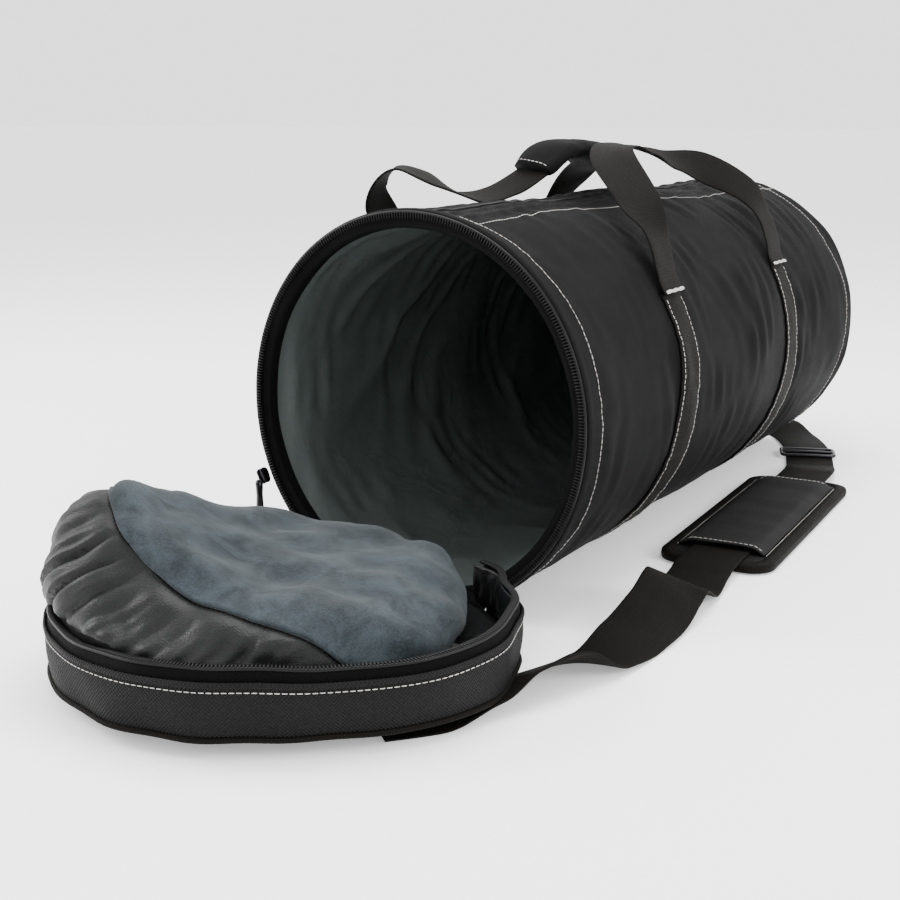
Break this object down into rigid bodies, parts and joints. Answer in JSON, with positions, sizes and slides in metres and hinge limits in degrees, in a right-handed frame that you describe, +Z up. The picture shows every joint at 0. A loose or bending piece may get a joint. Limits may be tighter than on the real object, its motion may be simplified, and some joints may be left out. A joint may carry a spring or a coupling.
{
  "type": "telescope carry case",
  "caption": "Padded fabric tube bag for a telescope, with a zipped end flap that lies open and holds a pillow, two carrying handles and a padded shoulder strap.",
  "frame": {"origin": "centre of the flat base panel, midway along the tube, on the surface the bag lies on", "axes": "+Y along the tube towards its closed rear end, the mouth faces -Y, +Z up, the shoulder strap lies on the +X side"},
  "size_m": [0.3728, 1.0769, 0.3445],
  "materials": {
    "black_fabric": "woven polyester, matt",
    "black_webbing": "ribbed polyester webbing",
    "grey_lining": "coated nylon, soft sheen",
    "black_lining": "coated nylon, soft sheen",
    "padding_foam": "closed-cell foam, matt",
    "zip_coil": "moulded nylon coil",
    "gunmetal": "dark plated zinc",
    "pillow_nylon": "woven nylon, soft sheen",
    "pillow_plush": "short-pile plush"
  },
  "bodies": {
    "root": {"base_panel": "black_fabric", "shell_panel_right": "black_fabric", "shell_panel_left": "black_fabric", "foam_wrap": "padding_foam", "lining_tube": "grey_lining", "front_band_right": "black_webbing", "front_band_left": "black_webbing", "rear_band_right": "black_webbing", "rear_band_left": "black_webbing", "rear_lining": "grey_lining", "rear_foam": "padding_foam", "rear_panel": "black_fabric", "rear_piping": "black_webbing", "mouth_binding": "black_webbing", "mouth_zip_coil": "zip_coil", "top_zip_tape_right": "black_fabric", "top_zip_tape_left": "black_fabric", "top_zip_coil": "zip_coil", "top_zip_end_tab": "black_webbing", "rear_ring_tab": "black_webbing", "shoulder_strap": "black_webbing"},
    "flap": {"flap_panel": "black_fabric", "flap_piping": "black_webbing", "flap_gusset": "black_fabric", "flap_zip_tape": "black_webbing", "flap_zip_coil": "zip_coil", "flap_gusset_lining": "black_lining", "flap_foam": "padding_foam", "flap_lining": "black_lining", "flap_hinge_strip": "black_fabric", "pillow_cover": "pillow_nylon", "pillow_plush": "pillow_plush", "front_ring_tab": "black_webbing"},
    "front_ring": {"front_ring": "gunmetal", "front_strap_end": "black_webbing"},
    "rear_ring": {"rear_ring": "gunmetal", "rear_strap_end": "black_webbing"},
    "top_slider": {"top_zip_slider": "gunmetal"},
    "top_pull": {"top_zip_pull": "gunmetal"},
    "mouth_slider": {"mouth_zip_slider": "gunmetal"},
    "mouth_pull": {"mouth_zip_pull": "gunmetal"},
    "right_handle": {"right_handle_webbing": "black_webbing"},
    "left_handle": {"left_handle_webbing": "black_webbing", "handle_grip_wrap": "black_fabric"},
    "shoulder_pad": {"shoulder_pad_base": "black_fabric", "shoulder_pad_sleeve": "black_fabric"},
    "strap_adjuster": {"strap_adjuster": "gunmetal"}
  },
  "joints": [
    {"name": "flap_hinge", "type": "hinge", "parent": "root", "child": "flap", "pos_m": [0, -0.37875, 0.02875], "axis": [-1, 0, 0], "range_deg": [0, 90]},
    {"name": "front_ring_swing", "type": "hinge", "parent": "flap", "child": "front_ring", "pos_m": [0.03, -0.577, 0.0058], "axis": [-0.3829, 0.9238, 0], "range_deg": [0, 100]},
    {"name": "rear_ring_swing", "type": "hinge", "parent": "root", "child": "rear_ring", "pos_m": [0, 0.355, 0.215], "axis": [1, 0, 0], "range_deg": [0, 110]},
    {"name": "top_zip_slide", "type": "slide", "parent": "root", "child": "top_slider", "axis": [0, -1, 0], "range_m": [0, 0.6]},
    {"name": "top_pull_hinge", "type": "hinge", "parent": "top_slider", "child": "top_pull", "pos_m": [0, 0.2978, 0.3057], "axis": [-1, 0, 0], "range_deg": [0, 110]},
    {"name": "mouth_zip_run", "type": "hinge", "parent": "root", "child": "mouth_slider", "pos_m": [0, -0.345, 0.149], "axis": [0, 1, 0], "range_deg": [-20, 258]},
    {"name": "mouth_pull_hinge", "type": "hinge", "parent": "mouth_slider", "child": "mouth_pull", "pos_m": [-0.14536, -0.347, 0.07748], "axis": [0, 1, 0], "range_deg": [-8, 150]},
    {"name": "right_handle_swing", "type": "hinge", "parent": "root", "child": "right_handle", "pos_m": [0.1325, 0, 0.2285], "axis": [0, 1, 0], "range_deg": [0, 135]},
    {"name": "left_handle_swing", "type": "hinge", "parent": "root", "child": "left_handle", "pos_m": [-0.1325, 0, 0.2285], "axis": [0, -1, 0], "range_deg": [0, 135]},
    {"name": "shoulder_pad_slide", "type": "slide", "parent": "root", "child": "shoulder_pad", "axis": [-0.0479, 0.9989, 0], "range_m": [-0.015, 0.015]},
    {"name": "adjuster_slide", "type": "slide", "parent": "root", "child": "strap_adjuster", "axis": [-0.361, 0.9326, 0], "range_m": [-0.01, 0.01]}
  ]
}
